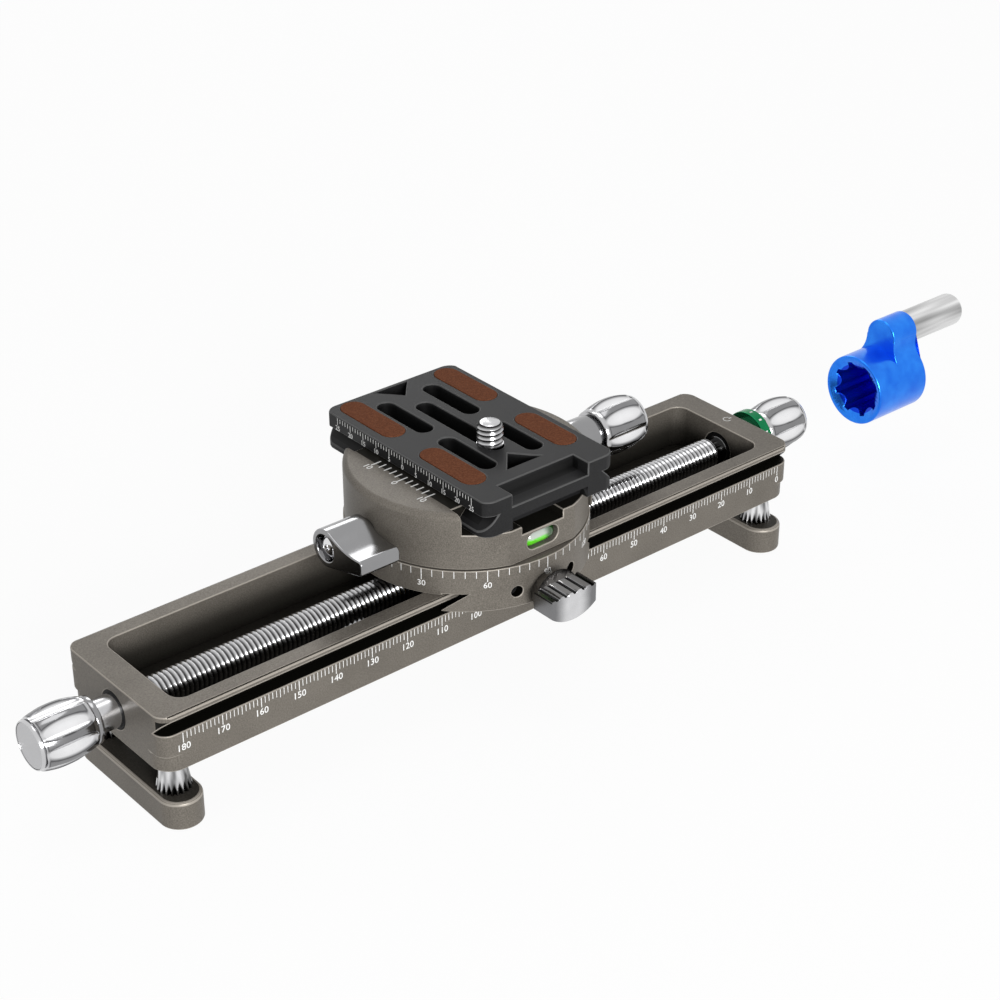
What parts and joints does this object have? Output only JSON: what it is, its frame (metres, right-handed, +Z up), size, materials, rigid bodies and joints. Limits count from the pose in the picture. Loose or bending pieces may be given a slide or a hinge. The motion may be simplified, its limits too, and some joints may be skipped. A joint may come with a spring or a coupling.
{
  "type": "macro focusing rail",
  "caption": "Macro focusing rail: a lead screw drives a carriage along a dovetail rail, and a panning clamp on it holds a quick-release camera plate.",
  "frame": {"origin": "middle of the rail's underside, at the mouth of the large tripod hole", "axes": "+X along the rail towards the graduated dial and the crank, -Y the side with the millimetre scale and the level, +Z up"},
  "size_m": [0.2959, 0.0723, 0.0604],
  "materials": {
    "anodised": "fine bead-blasted, warm grey anodised",
    "chrome": "bright plated",
    "steel": "machined stainless",
    "black_steel": "black oxide",
    "black_plastic": "low-friction polymer",
    "rubber": "soft pad",
    "brass": "turned",
    "dial": "green with pale engraved marks",
    "crank_blue": "bright blue anodised",
    "plate_black": "satin black anodised",
    "cork": "fine-grained brown cork and rubber",
    "level_body": "pale moulded surround",
    "level_glass": "green filled vial"
  },
  "bodies": {
    "frame": {"rail_body": "anodised", "left_bearing": "black_plastic", "right_bearing": "black_plastic", "left_foot": "anodised", "right_foot": "anodised", "foot_pads": "rubber", "foot_screws": "steel"},
    "front_left_nut": {"front_left_foot_nut": "chrome"},
    "back_left_nut": {"back_left_foot_nut": "chrome"},
    "front_right_nut": {"front_right_foot_nut": "chrome"},
    "back_right_nut": {"back_right_foot_nut": "chrome"},
    "lead_screw": {"lead_screw": "steel", "left_collar": "chrome", "left_knob": "chrome", "left_knob_cap": "chrome", "thrust_collar": "chrome", "dial_ring": "dial", "right_collar": "chrome", "right_knob": "chrome", "right_knob_cap": "chrome"},
    "crank": {"crank_socket": "crank_blue", "crank_handle_pin": "steel"},
    "crank_handle": {"crank_handle": "steel"},
    "carriage": {"carriage_base": "anodised", "drive_nut": "brass", "drive_nut_screws": "steel", "gib_strip": "black_plastic", "gib_screws": "black_steel", "pan_pivot": "steel", "pan_retainer": "steel", "pivot_screw": "black_steel", "pan_bearing": "black_plastic"},
    "lock_knob": {"lock_knob": "chrome", "lock_stem": "steel"},
    "turret": {"pan_body": "anodised", "level_frame": "level_body", "level_vial": "level_glass", "lock_shoe": "brass"},
    "wing_lever": {"wing_lever": "chrome", "wing_screw": "chrome", "wing_stud": "steel"},
    "clamp_jaw": {"clamp_jaw": "anodised", "jaw_guide_pins": "steel"},
    "clamp_knob": {"clamp_screw": "steel", "clamp_collar": "chrome", "clamp_knob": "chrome", "clamp_knob_cap": "chrome"},
    "plate": {"qr_plate": "plate_black", "plate_pads": "cork"},
    "stud_slider": {"stud_washer": "black_steel"},
    "camera_stud": {"camera_stud": "steel"}
  },
  "joints": [
    {"name": "lead_screw_turn", "type": "hinge", "parent": "frame", "child": "lead_screw", "pos_m": [0, 0, 0.0072], "axis": [1, 0, 0], "range_deg": [-15120, 18000]},
    {"name": "carriage_slide", "type": "slide", "parent": "frame", "child": "carriage", "axis": [1, 0, 0], "range_m": [-0.0625, 0.0525]},
    {"name": "crank_lift_off", "type": "slide", "parent": "lead_screw", "child": "crank", "axis": [1, 0, 0], "range_m": [-0.037, 0]},
    {"name": "crank_handle_spin", "type": "hinge", "parent": "crank", "child": "crank_handle", "pos_m": [0.165, 0, 0.0204], "axis": [1, 0, 0], "continuous": true},
    {"name": "lock_knob_turn", "type": "hinge", "parent": "carriage", "child": "lock_knob", "pos_m": [0.00305, -0.033, 0.0126], "axis": [0, 1, 0], "range_deg": [-90, 90]},
    {"name": "turret_pan", "type": "hinge", "parent": "carriage", "child": "turret", "pos_m": [0.0035, 0, 0.025], "axis": [0, 0, 1], "continuous": true},
    {"name": "wing_lever_turn", "type": "hinge", "parent": "turret", "child": "wing_lever", "pos_m": [-0.033, 0, 0.0256], "axis": [1, 0, 0], "range_deg": [-60, 25]},
    {"name": "clamp_knob_turn", "type": "hinge", "parent": "clamp_jaw", "child": "clamp_knob", "pos_m": [0.05, 0, 0.0271], "axis": [1, 0, 0], "range_deg": [0, 1350]},
    {"name": "clamp_jaw_slide", "type": "slide", "parent": "turret", "child": "clamp_jaw", "axis": [1, 0, 0], "range_m": [0, 0.003]},
    {"name": "plate_slide", "type": "slide", "parent": "turret", "child": "plate", "axis": [0, 1, 0], "range_m": [-0.04, 0.04]},
    {"name": "stud_slide", "type": "slide", "parent": "plate", "child": "stud_slider", "axis": [0, 1, 0], "range_m": [-0.0014, 0.024]},
    {"name": "stud_turn", "type": "hinge", "parent": "stud_slider", "child": "camera_stud", "pos_m": [0.00645, -0.00517, 0.042], "axis": [0, 0, 1], "continuous": true},
    {"name": "front_left_nut_turn", "type": "hinge", "parent": "frame", "child": "front_left_nut", "pos_m": [-0.0895, -0.0135, -0.004], "axis": [0, 0, 1], "range_deg": [-180, 180]},
    {"name": "back_left_nut_turn", "type": "hinge", "parent": "frame", "child": "back_left_nut", "pos_m": [-0.0895, 0.0135, -0.004], "axis": [0, 0, 1], "range_deg": [-180, 180]},
    {"name": "front_right_nut_turn", "type": "hinge", "parent": "frame", "child": "front_right_nut", "pos_m": [0.0895, -0.0135, -0.004], "axis": [0, 0, 1], "range_deg": [-180, 180]},
    {"name": "back_right_nut_turn", "type": "hinge", "parent": "frame", "child": "back_right_nut", "pos_m": [0.0895, 0.0135, -0.004], "axis": [0, 0, 1], "range_deg": [-180, 180]}
  ],
  "couplings": [
    {"joint": "lead_screw_turn", "follows": "carriage_slide", "rad_per_m": -5026.5},
    {"joint": "clamp_knob_turn", "follows": "clamp_jaw_slide", "rad_per_m": 7854}
  ]
}
